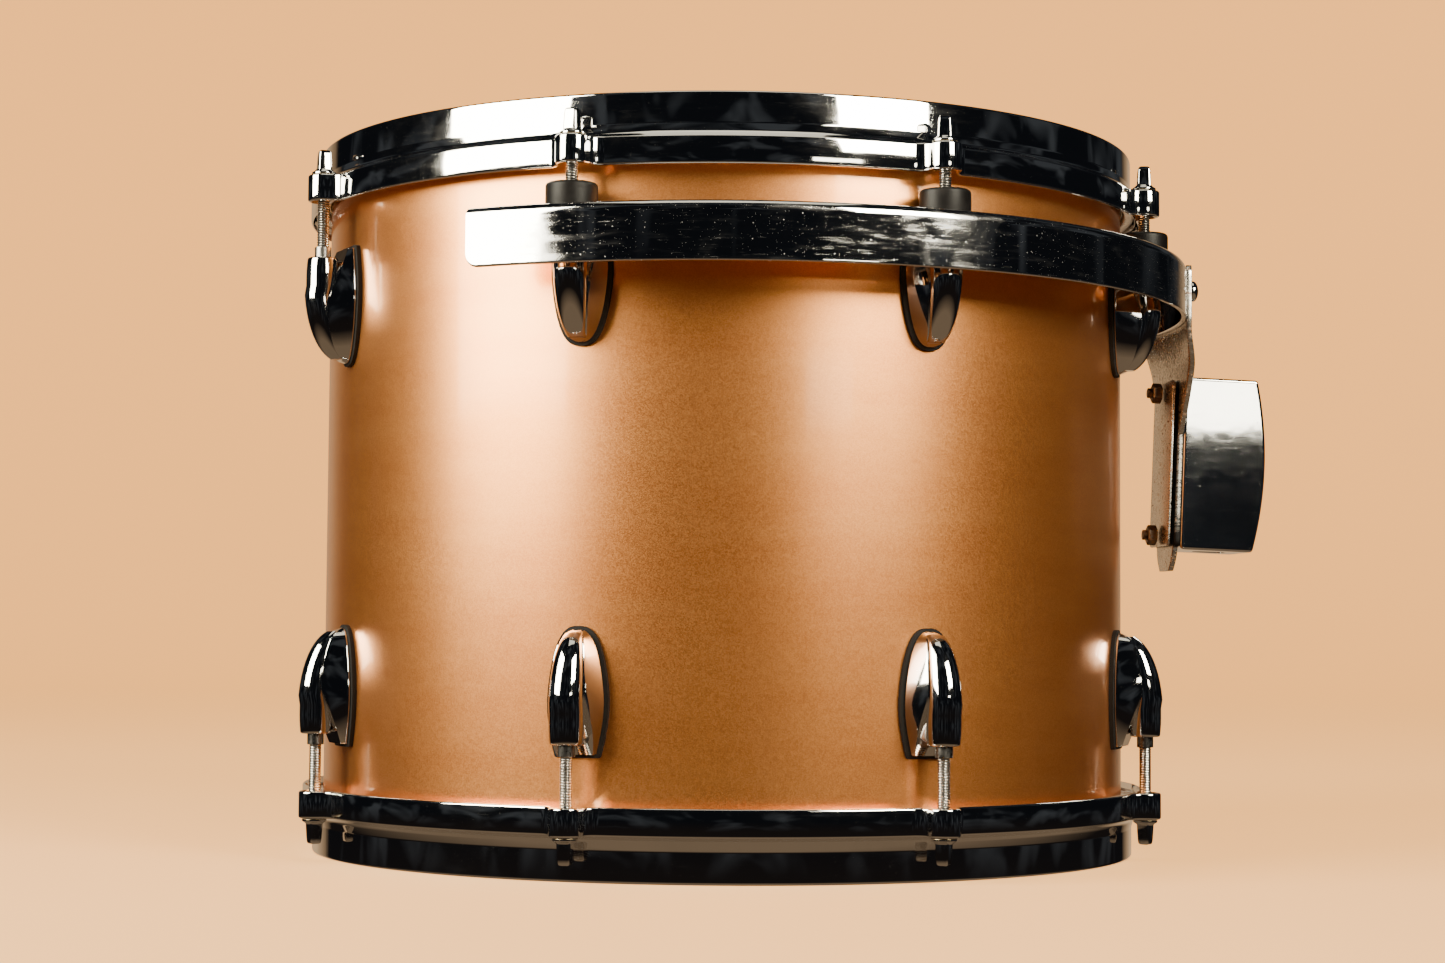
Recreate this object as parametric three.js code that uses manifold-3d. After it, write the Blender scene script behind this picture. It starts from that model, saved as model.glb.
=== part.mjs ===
// A 14 x 11 inch rack tom with die-cast hoops and a suspension mount.
// Millimetres, +Z up. The origin is the centre of the batter head's playing face, and +X points
// to the mount. Angles around the drum run from -Y towards +X, the way LatheGeometry turns.

import * as THREE from 'three';
import { mergeVertices } from 'three/addons/utils/BufferGeometryUtils.js';
import Module from 'manifold-3d';

const wasm = await Module();
wasm.setup();

const degree = Math.PI / 180;
const gap = 0.3; // between pieces that touch

// ---- driving dimensions ----

const ringSegments = 48;
const shell = { radius: 177, depth: 279, thickness: 7, edgeRound: 1.7, edgeDrop: 2.3 };
const film = { thickness: 0.3, seat: 0.45, flat: 175.6, collarRadius: 177.9, collarDepth: 9.5 };
const fleshHoop = { inner: 178.7, outer: 183.1, top: -5.9, height: 6.1 };
const hoop = {
  lip: 12.8, // above the playing face
  wallInner: 178.3,
  wallOuter: 181.5,
  coveTop: -0.2,
  flangeTop: -5.2,
  flangeBottom: -16.5,
  flangeOuter: 186,
  seatInner: 183.4,
  seatTop: -5.6,
};
const ear = { radius: 6.65, fillet: 5.6, hole: 3.3 };
const rods = { count: 8, circle: 190, firstAngle: -22.5 };
const rod = {
  thread: 2.6,
  tip: -54,
  collar: 5.1,
  collarHeight: 2.2,
  headTop: 5.6,
  headAcross: 5.7,
  headTaper: 0.9,
};
const lug = {
  flatEnd: -36.1, // the base's end nearest the hoop
  length: 48.2,
  postStart: 4.1, // the post starts this far below the base's flat end
  postRadius: 6.85,
  postCentre: rods.circle - shell.radius,
  notchEnd: 29,
  ledge: 2.6,
  base: 0.4 + 1.5, // the back stands off the shell by its seat pad
  collar: 3.5,
  collarLength: 4.5,
  bore: 3.2,
  boreDepth: 22,
  flatEndHalf: 8.4, // half the base's width at its flat end, and what it gains by widestAt
  widening: 3,
  widestAt: 20,
  noseStart: 12, // the post's nose and the foot close over the rest of the length
  noseRoundness: 2.2,
};
const band = {
  top: -33.3,
  height: 23.5,
  outer: 206,
  wall: 2.3,
  flangeInner: 181.5,
  flangeThickness: 2,
  bend: 4,
  halfSpan: 123.4,
  steps: 44,
  hole: 7,
};
const grommet = {
  radius: 10.2,
  top: -23.8,
  neck: 6.5,
  bore: 3.4,
  recess: 4.3,
  edge: 1.6,
};
const plate = {
  top: -31.9,
  bottom: -167.2,
  thickness: 2.4,
  radius: band.outer + gap,
  flatFace: 205, // the flat part's inner face, above its bend
  halfWidth: 42,
  stripHalfWidth: 18,
  flattenTop: -60, // the plate turns from curved to flat between these two heights
  flattenBottom: -79,
  bendHeight: -75.5, // below this the plate leans in to the drum
  lean: 2.2,
  taperBottom: -106,
  taperCurve: 0.55, // 0 is a straight taper
  tongueTop: -158,
  tongueHalfWidth: [15, 8.5], // at the tongue's top and bottom
};
const clamp = {
  centre: -118.7,
  halfHeight: 39,
  halfWidth: 17.8,
  depth: 33.3,
  bulge: 4.6,
  edge: 1.6,
  rodBore: 6.6,
  rodDepth: 18.3, // from the plate's outer face to the L-rod's axis
  jawRadius: 7,
  pocketDepth: 15.8,
  screwBore: 4.4,
};
const pad = { halfWidth: 17.8, halfHeight: 38, thickness: 2.3 };
const backing = { halfWidth: 17.4, halfHeight: 37.6, thickness: 0.9 };
const nut = { across: 8, height: 4.2, offset: 32.5 };
const plateBolt = { angle: 9, height: -43, radius: 4.6, dome: 3 };
const vent = { angle: 180, bore: 4.8, sleeve: 6, flange: 9, flangeHeight: 1.2 };
const wing = { span: 46, height: 17, thickness: 5, hub: 8, hubLength: 13, screw: 3.9, lift: 2.5 };
const screwEnd = 11.9; // the wing bolt's tip and the jaw's face that it bears on
const jawFace = screwEnd - gap;

// ---- colours and finishes ----

const finish = (color, roughness, metalness) =>
  new THREE.MeshStandardMaterial({ color, roughness, metalness });
const chrome = finish(0xc9ccd0, 0.08, 1);
const steel = finish(0xb9b3a8, 0.3, 1);
const rustySteel = finish(0x4a3a2c, 0.6, 0.8);
const lacquer = finish(0xb9814f, 0.32, 0.55);
const rubber = finish(0x1b1a1a, 0.7, 0);
const coatedFilm = finish(0xe9e6dd, 0.6, 0);
const clearFilm = finish(0xdfe4e4, 0.15, 0);
const aluminium = finish(0xc4c6c8, 0.35, 1);

// ---- mesh and solid helpers ----

// A closed profile of [radius, height] points turned about Z. It runs anticlockwise: outwards
// along the bottom, up the outside and back along the top.
function spun(profile, segments = ringSegments) {
  const points = profile.map(([radius, height]) => new THREE.Vector2(radius, height));
  if (profile[0][0] > 0) {
    points.push(points[0].clone());
  }
  return new THREE.LatheGeometry(points, segments).rotateX(Math.PI / 2);
}

// Rings of points with equal counts are skinned into a tube. The outline is the same ring laid
// flat, and caps both ends. The faces are turned over if they came out pointing in.
function loft(rings, outline) {
  const count = rings[0].length;
  const last = (rings.length - 1) * count;
  const triangles = [];
  for (let start = 0; start < last; start += count) {
    for (let j = 0; j < count; j += 1) {
      const here = start + j;
      const next = start + ((j + 1) % count);
      triangles.push([here, next, next + count], [here, next + count, here + count]);
    }
  }
  const contour = outline.map(([x, y]) => new THREE.Vector2(x, y));
  const turn = THREE.ShapeUtils.area(contour);
  for (const face of THREE.ShapeUtils.triangulateShape(contour, [])) {
    const sameTurn = THREE.ShapeUtils.area(face.map((i) => contour[i])) * turn > 0;
    const [a, b, c] = sameTurn ? face : [...face].reverse();
    triangles.push([a, c, b], [last + a, last + b, last + c]);
  }
  const points = rings.flat().map((point) => new THREE.Vector3(...point));
  const volume = triangles.reduce(
    (sum, [a, b, c]) => sum + points[a].dot(new THREE.Vector3().crossVectors(points[b], points[c])),
    0,
  );
  const geometry = new THREE.BufferGeometry().setFromPoints(points);
  geometry.setIndex(triangles.flatMap(([a, b, c]) => (volume > 0 ? [a, b, c] : [a, c, b])));
  return geometry;
}

function solidOf(geometry) {
  const bare = geometry.clone();
  bare.deleteAttribute('normal');
  bare.deleteAttribute('uv');
  const merged = mergeVertices(bare, 1e-4);
  const triVerts = [];
  const corners = merged.index.array;
  for (let i = 0; i < corners.length; i += 3) {
    const [a, b, c] = corners.slice(i, i + 3);
    if (a !== b && b !== c && c !== a) {
      triVerts.push(a, b, c);
    }
  }
  return new wasm.Manifold(
    new wasm.Mesh({
      numProp: 3,
      vertProperties: new Float32Array(merged.attributes.position.array),
      triVerts: new Uint32Array(triVerts),
    }),
  );
}

function geometryOf(solid) {
  const mesh = solid.getMesh();
  const geometry = new THREE.BufferGeometry();
  geometry.setAttribute('position', new THREE.BufferAttribute(mesh.vertProperties, 3));
  geometry.setIndex(new THREE.BufferAttribute(mesh.triVerts, 1));
  geometry.computeVertexNormals();
  return geometry;
}

const joined = (...pieces) => geometryOf(pieces.map(solidOf).reduce((a, b) => a.add(b)));
const cut = (body, ...tools) =>
  geometryOf(tools.map(solidOf).reduce((a, b) => a.subtract(b), solidOf(body)));

// A cylinder along Z between two heights.
function post(radius, bottom, top, segments, topRadius = radius) {
  const geometry = new THREE.CylinderGeometry(topRadius, radius, top - bottom, segments);
  return geometry.rotateX(Math.PI / 2).translate(0, 0, (top + bottom) / 2);
}

const group = new THREE.Group();

function node(parent, name, geometry, material) {
  const mesh = new THREE.Mesh(geometry, material);
  mesh.name = name;
  parent.add(mesh);
  return mesh;
}

// An arm turned to an angle around the drum: inside it, -Y points outwards.
function arm(parent, angle) {
  const holder = new THREE.Group();
  holder.rotation.z = angle * degree;
  parent.add(holder);
  return holder;
}

const rodStep = 360 / rods.count;
const rodAngles = Array.from({ length: rods.count }, (_, i) => rods.firstAngle + i * rodStep);
// the mount's band passes these rods only
const mountRodAngles = rodAngles.filter((angle) => Math.abs(angle - 90) < band.halfSpan);
const filmToFilm = shell.depth + 2 * film.seat;

// ---- shell ----

function shellGeometry() {
  const { radius, thickness, edgeRound, edgeDrop, depth } = shell;
  const inner = radius - thickness;
  const apex = radius - edgeRound;
  const bevel = apex - inner;
  const top = -film.seat;
  const bottom = top - depth;
  const wall = spun([
    [inner, bottom + bevel],
    [apex, bottom],
    [radius, bottom + edgeDrop],
    [radius, top - edgeDrop],
    [apex, top],
    [inner, top - bevel],
  ]);
  const ventHole = post(vent.sleeve + gap, inner - 5, radius + 5, 12);
  ventHole.rotateX(Math.PI / 2).rotateZ(vent.angle * degree).translate(0, 0, -filmToFilm / 2);
  return cut(wall, ventHole);
}

function ventGeometry() {
  const { bore, sleeve, flange, flangeHeight } = vent;
  const outside = shell.radius + gap;
  const inside = shell.radius - shell.thickness - gap;
  const eyelet = spun(
    [
      [bore, inside - flangeHeight],
      [flange - 1, inside - flangeHeight],
      [flange - 1, inside - 2 * gap],
      [sleeve, inside - 2 * gap],
      [sleeve, outside],
      [flange, outside],
      [flange - 1, outside + flangeHeight],
      [bore, outside + flangeHeight],
    ],
    12,
  );
  return eyelet.rotateX(Math.PI / 2).translate(0, 0, -filmToFilm / 2);
}

// ---- heads and hoops, with the playing face at height 0 ----

function filmGeometry() {
  const { thickness, flat, collarRadius, collarDepth } = film;
  return spun([
    [0, -thickness],
    [flat, -thickness],
    [collarRadius - 0.5, -2.2],
    [collarRadius - 0.5, -collarDepth],
    [collarRadius, -collarDepth],
    [collarRadius, -2],
    [flat, 0],
    [0, 0],
  ]);
}

function fleshHoopGeometry() {
  const { inner, outer, top, height } = fleshHoop;
  return spun([
    [inner, top - height],
    [outer, top - height],
    [outer, top],
    [inner, top],
  ]);
}

function earShape() {
  const { radius, fillet } = ear;
  const root = hoop.flangeOuter - 1.4;
  const reach = radius + fillet;
  const shape = new THREE.Shape();
  shape.moveTo(reach, -root);
  shape.lineTo(-reach, -root);
  shape.absarc(-reach, -rods.circle - 0.9, fillet - 0.3, Math.PI / 2, 0, true);
  shape.absarc(0, -rods.circle, radius, Math.PI, 2 * Math.PI, false);
  shape.absarc(reach, -rods.circle - 0.9, fillet - 0.3, Math.PI, Math.PI / 2, true);
  return shape;
}

function hoopGeometry() {
  const { lip, wallInner, wallOuter, coveTop, flangeTop, flangeBottom } = hoop;
  const { flangeOuter, seatInner, seatTop } = hoop;
  const ring = spun([
    [seatInner, flangeBottom],
    [flangeOuter, flangeBottom],
    [flangeOuter, flangeTop],
    [flangeOuter - 1.5, flangeTop],
    [wallOuter + 0.8, flangeTop + 2],
    [wallOuter, coveTop],
    [wallOuter, lip],
    [wallInner, lip],
    [wallInner, seatTop],
    [seatInner, seatTop],
  ]);
  const earSolid = new THREE.ExtrudeGeometry(earShape(), {
    depth: flangeTop - flangeBottom,
    bevelEnabled: false,
    curveSegments: 3,
  }).translate(0, 0, flangeBottom);
  const hole = post(ear.hole, flangeBottom - 1, flangeTop + 1, 8).translate(0, -rods.circle, 0);
  const ears = rodAngles.map((angle) => earSolid.clone().rotateZ(angle * degree));
  const holes = rodAngles.map((angle) => hole.clone().rotateZ(angle * degree));
  return cut(joined(ring, ...ears), ...holes);
}

// ---- tension rods and lugs, made at the angle 0 with the rod's axis on Z ----

function rodGeometry() {
  const { thread, tip, collar, collarHeight, headTop, headAcross, headTaper } = rod;
  const seat = hoop.flangeTop + gap;
  const stem = spun(
    [
      [0, tip],
      [thread, tip],
      [thread, seat],
      [collar, seat],
      [collar, seat + 0.8],
      [thread + 0.8, seat + collarHeight],
      [0, seat + collarHeight],
    ],
    8,
  );
  const corner = headAcross / Math.SQRT2;
  const head = post(corner, seat + collarHeight - 1, headTop, 4, corner - headTaper);
  return joined(stem, head.rotateZ(45 * degree));
}

// The base's half width where it meets the shell, at a distance below its flat end.
const baseHalfWidth = (down) => {
  const { flatEndHalf, widening, widestAt, length } = lug;
  if (down < widestAt) {
    return flatEndHalf + widening * Math.sin((down / widestAt) * 90 * degree);
  }
  const reach = Math.min(1, (down - widestAt) / (length - widestAt));
  return (flatEndHalf + widening) * (1 - reach ** 2.1) ** 0.62 + 0.6;
};

// How far the body stands out from its back at the top of its post, at a distance down.
const bodyHeight = (down) => {
  const { noseStart, noseRoundness, length } = lug;
  const full = lug.postCentre - lug.base + lug.postRadius;
  const reach = Math.min(0.995, Math.max(0, (down - noseStart) / (length - noseStart)));
  return full * (1 - reach ** noseRoundness) ** (1 / noseRoundness) + 0.8;
};

function lugGeometry() {
  const { flatEnd, length, postStart, postRadius, notchEnd, ledge } = lug;
  const centre = lug.postCentre - lug.base;
  const slope = (down) => Math.min(1, down / notchEnd);
  // the sloping foot from the flat end to the tip
  const foot = [0, 8, 18, notchEnd, 38, 45, length].map((down) => {
    const half = baseHalfWidth(down);
    const crown = Math.min(postRadius - 0.4, half - 0.4);
    const rise = Math.min(ledge + (centre - ledge) * slope(down), bodyHeight(down) - crown * 0.6);
    const shoulder = half - 1 + (crown - half + 1) * slope(down);
    return { half, rise, shoulder, z: flatEnd - down };
  });
  const footRings = foot.map(({ half, rise, shoulder, z }) => [
    [-half, 0, z],
    [-shoulder, -rise, z],
    [shoulder, -rise, z],
    [half, 0, z],
  ]);
  const footSolid = loft(footRings, footRings[0]);
  // the bullet post, whose nose folds back into the foot
  const postRings = [postStart, 20, 30, 37, 43].map((down) => {
    const top = bodyHeight(down);
    const girth = Math.min(postRadius, 0.62 * baseHalfWidth(down));
    const radius = down < 30 ? postRadius : girth;
    return Array.from({ length: 8 }, (_, i) => {
      const turn = (i * 45 + 22.5) * degree;
      return [-radius * Math.cos(turn), radius - top + radius * Math.sin(turn), flatEnd - down];
    });
  });
  const postSolid = loft(postRings, postRings[0]);
  const open = flatEnd - postStart;
  const collar = post(lug.collar, open - 2, open + lug.collarLength, 8).translate(0, -centre, 0);
  const bore = post(lug.bore, open - lug.boreDepth, open + 10, 8).translate(0, -centre, 0);
  return cut(joined(footSolid, postSolid, collar), bore);
}

// ---- suspension mount ----

function bandGeometry() {
  const { top, height, outer, wall, flangeInner, flangeThickness, bend, halfSpan, steps } = band;
  const inner = outer - wall;
  const section = [
    [flangeInner, top],
    [flangeInner, top - flangeThickness],
    [inner - 1.5, top - flangeThickness],
    [inner, top - flangeThickness - 1.5],
    [inner, top - height],
    [outer, top - height],
    [outer, top - bend],
    [outer - bend * 0.3, top - bend * 0.3],
    [outer - bend, top],
  ];
  const rings = Array.from({ length: steps + 1 }, (_, i) => {
    const angle = (90 - halfSpan + (2 * halfSpan * i) / steps) * degree;
    return section.map(([radius, z]) => [radius * Math.sin(angle), -radius * Math.cos(angle), z]);
  });
  const hole = post(band.hole, top - 6, top + 3, 16).translate(0, -rods.circle, 0);
  const holes = mountRodAngles.map((angle) => hole.clone().rotateZ(angle * degree));
  return cut(loft(rings, section), ...holes);
}

function grommetGeometry() {
  const { radius, top, neck, bore, recess, edge } = grommet;
  const seat = band.top + gap;
  const under = band.top - band.flangeThickness - gap;
  const rest = lug.flatEnd - lug.postStart + gap;
  return spun(
    [
      [recess, rest],
      [neck, rest],
      [neck, seat],
      [radius, seat],
      [radius, top - edge],
      [radius - edge, top],
      [bore, top],
      [bore, under + 1.2],
      [recess, under + 1.2],
    ],
    12,
  );
}

// The plate's half width at a height: broad at the band, then a curved taper to a strip and a tongue.
function plateHalfWidth(height) {
  const { halfWidth, stripHalfWidth, taperBottom, taperCurve, tongueTop, tongueHalfWidth } = plate;
  const taperTop = band.top - band.height;
  if (height >= taperTop) {
    return halfWidth;
  }
  if (height >= taperBottom) {
    const fall = (taperTop - height) / (taperTop - taperBottom);
    const share = fall * (1 - taperCurve + taperCurve * fall);
    return halfWidth + (stripHalfWidth - halfWidth) * share;
  }
  if (height > tongueTop) {
    return stripHalfWidth;
  }
  const fall = (tongueTop - height) / (tongueTop - plate.bottom);
  return tongueHalfWidth[0] + (tongueHalfWidth[1] - tongueHalfWidth[0]) * fall;
}

// The plate follows the band at its top, flattens lower down, and leans in below its bend.
function plateFace(across, height, outwards) {
  const flattening = (plate.flattenTop - height) / (plate.flattenTop - plate.flattenBottom);
  const flatness = Math.min(1, Math.max(0, flattening));
  const curved = Math.sqrt(plate.radius ** 2 - across ** 2);
  const inward = Math.max(0, plate.bendHeight - height) * Math.tan(plate.lean * degree);
  return curved + (plate.flatFace - curved) * flatness - inward + outwards;
}

function plateGeometry() {
  const { bottom, tongueTop, taperBottom, flattenBottom, bendHeight, top } = plate;
  const tapering = [taperBottom, -98, -90, -82, flattenBottom, bendHeight, -66];
  const straight = [band.top - band.height, top];
  const heights = [bottom, tongueTop - 0.1, tongueTop, ...tapering, ...straight];
  const columns = [-1, -0.6, -0.2, 0.2, 0.6, 1];
  const rings = heights.map((height) => {
    const half = plateHalfWidth(height);
    const face = (outwards) =>
      columns.map((t) => [plateFace(t * half, height, outwards), t * half, height]);
    return [...face(0).reverse(), ...face(plate.thickness)];
  });
  return loft(rings, rings[0]);
}

// The pieces on the plate's leaning strip share this frame: X outwards from the plate's outer
// face, Z up along the plate, centred on the clamp housing.
const clampFrame = new THREE.Group();
const plateOffset = plateFace(0, clamp.centre, plate.thickness);
clampFrame.position.set(plateOffset, 0, clamp.centre);
clampFrame.rotation.y = plate.lean * degree;

function housingGeometry() {
  const { halfHeight, halfWidth, depth, bulge, edge } = clamp;
  const profile = new THREE.Shape();
  const sweep = Math.atan2(halfHeight, (halfHeight ** 2 - bulge ** 2) / (2 * bulge));
  const radius = halfHeight / Math.sin(sweep);
  profile.moveTo(gap, -halfHeight);
  profile.lineTo(gap + depth, -halfHeight);
  profile.absarc(gap + depth + bulge - radius, 0, radius, -sweep, sweep, false);
  profile.lineTo(gap, halfHeight);
  const block = new THREE.ExtrudeGeometry(profile, {
    depth: 2 * (halfWidth - edge),
    bevelThickness: edge,
    bevelSize: edge,
    bevelOffset: -edge,
    bevelSegments: 1,
    curveSegments: 10,
  });
  block.rotateX(Math.PI / 2).translate(0, halfWidth - edge, 0);
  const rodBore = post(clamp.rodBore, -halfHeight - 2, halfHeight + 2, 16);
  rodBore.translate(clamp.rodDepth, 0, 0);
  const jawPocket = post(clamp.jawRadius + gap, 0, clamp.pocketDepth, 12);
  const screwBore = post(clamp.screwBore, 10, halfWidth + 2, 10);
  for (const tool of [jawPocket, screwBore]) {
    tool.rotateX(-Math.PI / 2).translate(clamp.rodDepth, 0, 0);
  }
  return cut(block, rodBore, jawPocket, screwBore);
}

// The jaw presses the L-rod across its bore; its face is hollowed to the rod.
function jawGeometry() {
  const body = post(clamp.jawRadius, 3.2, jawFace, 12).rotateX(-Math.PI / 2);
  const rodSpace = post(clamp.rodBore, -12, 12, 16);
  return cut(body, rodSpace).translate(clamp.rodDepth, 0, 0);
}

function wingBoltGeometry() {
  const face = clamp.halfWidth + 1.2;
  const screw = post(wing.screw, screwEnd, face + 2, 10);
  const hub = post(wing.hub, face, face + wing.hubLength, 14, wing.hub - 2);
  const tip = wing.span / 2;
  const crest = wing.height;
  const outline = new THREE.Shape();
  outline.moveTo(-5, 0);
  outline.lineTo(3 - tip, 5);
  outline.quadraticCurveTo(-tip - 2, 10, 2 - tip, crest - 2);
  outline.quadraticCurveTo(7 - tip, crest, 10 - tip, crest - 5);
  outline.quadraticCurveTo(0, 7, tip - 10, crest - 5);
  outline.quadraticCurveTo(tip - 7, crest, tip - 2, crest - 2);
  outline.quadraticCurveTo(tip + 2, 10, tip - 3, 5);
  outline.lineTo(5, 0);
  const wings = new THREE.ExtrudeGeometry(outline, {
    depth: wing.thickness,
    bevelEnabled: false,
    curveSegments: 4,
  });
  wings.translate(0, 0, -wing.thickness / 2).rotateX(Math.PI / 2);
  wings.rotateZ(Math.PI / 2).translate(0, 0, face + wing.lift);
  return joined(screw, hub, wings).rotateX(-Math.PI / 2).translate(clamp.rodDepth, 0, 0);
}

// A slab on the plate's inner side, between two distances from its outer face.
function innerSlab(piece, start) {
  const slab = new THREE.BoxGeometry(piece.thickness, 2 * piece.halfWidth, 2 * piece.halfHeight);
  return slab.translate(start - piece.thickness / 2, 0, 0);
}

function nutGeometry(start) {
  const hexagon = post(nut.across / Math.sqrt(3), 0, nut.height, 6);
  return hexagon.rotateY(-Math.PI / 2).translate(start, 0, 0);
}

function plateBoltGeometry() {
  const outside = plate.radius + plate.thickness + gap;
  const { radius, dome } = plateBolt;
  const head = spun(
    [
      [0, outside],
      [radius, outside],
      [radius * 0.8, outside + dome * 0.65],
      [radius * 0.4, outside + dome],
      [0, outside + dome],
    ],
    10,
  );
  return head.rotateX(Math.PI / 2).translate(0, 0, plateBolt.height);
}

// ---- assembly ----

node(group, 'shell', shellGeometry(), lacquer);
node(arm(group, vent.angle), 'air_vent', ventGeometry(), chrome);

const ends = [
  { side: 'batter', material: coatedFilm, turn: 0, height: 0 },
  { side: 'resonant', material: clearFilm, turn: Math.PI, height: -filmToFilm },
];
const hoopSolid = hoopGeometry();
const rodSolid = rodGeometry();
const lugSolid = lugGeometry();
for (const { side, material, turn, height } of ends) {
  const end = new THREE.Group();
  end.rotation.x = turn;
  end.position.z = height;
  group.add(end);
  node(end, `${side}_head`, filmGeometry(), material);
  node(end, `${side}_flesh_hoop`, fleshHoopGeometry(), aluminium);
  node(end, `${side}_hoop`, hoopSolid, chrome);
  rodAngles.forEach((angle, i) => {
    // the turned end mirrors the angles, so its count starts from the same corner of the drum
    const holder = arm(end, turn === 0 ? angle : 180 - angle);
    node(holder, `${side}_lug_${i + 1}`, lugSolid, chrome).position.y = -(shell.radius + lug.base);
    node(holder, `${side}_rod_${i + 1}`, rodSolid, chrome).position.y = -rods.circle;
  });
}

node(group, 'mount_band', bandGeometry(), chrome);
mountRodAngles.forEach((angle, i) => {
  node(arm(group, angle), `grommet_${i + 1}`, grommetGeometry(), rubber).position.y = -rods.circle;
});
node(group, 'mount_plate', plateGeometry(), steel);
[-1, 1].forEach((side, i) => {
  const holder = arm(group, 90 + side * plateBolt.angle);
  node(holder, `plate_bolt_${i + 1}`, plateBoltGeometry(), chrome);
});

group.add(clampFrame);
const padStart = -plate.thickness - gap;
const backingStart = padStart - pad.thickness - gap;
const nutStart = backingStart - backing.thickness - gap;
node(clampFrame, 'clamp_housing', housingGeometry(), chrome);
node(clampFrame, 'clamp_pad', innerSlab(pad, padStart), rubber);
node(clampFrame, 'clamp_backing_plate', innerSlab(backing, backingStart), steel);
node(clampFrame, 'clamp_nut_1', nutGeometry(nutStart), rustySteel).position.z = nut.offset;
node(clampFrame, 'clamp_nut_2', nutGeometry(nutStart), rustySteel).position.z = -nut.offset;
node(clampFrame, 'clamp_jaw', jawGeometry(), steel);
node(clampFrame, 'wing_bolt', wingBoltGeometry(), chrome);

export default group;
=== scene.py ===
import math

import bmesh
import bpy
from mathutils import Matrix, Vector


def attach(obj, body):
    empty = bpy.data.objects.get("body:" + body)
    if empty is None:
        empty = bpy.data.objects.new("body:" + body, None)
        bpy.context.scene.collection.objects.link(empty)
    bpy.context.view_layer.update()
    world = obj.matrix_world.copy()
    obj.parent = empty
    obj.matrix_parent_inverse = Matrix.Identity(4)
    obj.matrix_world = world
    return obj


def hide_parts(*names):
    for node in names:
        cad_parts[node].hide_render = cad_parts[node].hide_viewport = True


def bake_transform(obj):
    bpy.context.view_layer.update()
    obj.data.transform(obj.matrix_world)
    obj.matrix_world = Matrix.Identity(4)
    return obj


# A 14 x 11 inch rack tom with a suspension mount, standing on its lower hoop.
# Shapes are worked out in millimetres. At the angle 0 round the drum, outwards is -Y.
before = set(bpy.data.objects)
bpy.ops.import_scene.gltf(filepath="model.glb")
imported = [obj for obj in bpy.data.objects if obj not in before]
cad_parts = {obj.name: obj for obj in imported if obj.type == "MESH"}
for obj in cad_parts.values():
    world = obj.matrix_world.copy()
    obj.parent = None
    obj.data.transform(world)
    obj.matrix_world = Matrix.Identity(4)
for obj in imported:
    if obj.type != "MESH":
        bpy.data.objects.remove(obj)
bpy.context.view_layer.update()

mm = 0.001
rodStep = 45.0
rodAngles = [-22.5 + rodStep * i for i in range(8)]
mountAngles = rodAngles[:6]
drum = {"radius": 177, "wall": 7, "top": -0.45, "depth": 279, "filmToFilm": 279.9, "rodCircle": 190}
toRodCircle = Matrix.Translation((0, -drum["rodCircle"], 0))


# shaping

def turnedTo(angle, axis="Z"):
    return Matrix.Rotation(math.radians(angle), 4, axis)


def shiftedBy(x=0.0, y=0.0, z=0.0):
    return Matrix.Translation((x, y, z))


def endPlace(end, angle):
    # where a part drawn for the batter end goes; the resonant end is that end turned over
    if end == "batter":
        return turnedTo(angle)
    return shiftedBy(z=-drum["filmToFilm"]) @ turnedTo(180, "X") @ turnedTo(180 - angle)


def quarter(steps):
    # the angles of a quarter turn in equal steps
    return [math.pi / 2 * k / steps for k in range(steps + 1)]


def around(profile, angle):
    # a profile of (radius, height) stood at an angle in radians round Z
    return [(r * math.sin(angle), -r * math.cos(angle), z) for r, z in profile]


def rounded(points, radii, steps=5, hold=0.0):
    # a closed outline with its corners eased; radii is one number or one for each corner,
    # and hold sets a point beside each easing, so the flats stay flat
    count = len(points)
    radii = [radii] * count if isinstance(radii, (int, float)) else radii
    result = []
    for i, radius in enumerate(radii):
        corner = Vector(points[i])
        before = Vector(points[i - 1]) - corner
        after = Vector(points[(i + 1) % count]) - corner
        turn = before.angle(after)
        if radius <= 0 or turn > math.radians(176):
            result.append(tuple(corner))
            continue
        reach = min(radius / math.tan(turn / 2), 0.45 * before.length, 0.45 * after.length)
        start = corner + before.normalized() * reach
        end = corner + after.normalized() * reach
        arc = [start * (1 - t) ** 2 + corner * 2 * t * (1 - t) + end * t * t
               for t in [k / steps for k in range(steps + 1)]]
        if hold:
            arc = [start + before.normalized() * hold, *arc, end + after.normalized() * hold]
        result += [tuple(point) for point in arc]
    return result


def skin(rings, closed=False):
    # points and faces of rings of equal counts joined in order
    count = len(rings[0])
    points = [point for ring in rings for point in ring]
    faces = []
    spans = len(rings) if closed else len(rings) - 1
    for i in range(spans):
        a, b = i * count, ((i + 1) % len(rings)) * count
        for j in range(count):
            k = (j + 1) % count
            faces.append((a + j, a + k, b + k, b + j))
    if not closed:
        faces.append(tuple(range(count)))
        faces.append(tuple(len(points) - count + j for j in range(count)))
    return points, faces


def spun(profile, segments=192):
    # a profile of (radius, height) turned about Z. Points on the axis close into a pole
    return skin([around(profile, 2 * math.pi * i / segments) for i in range(segments)], closed=True)


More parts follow.
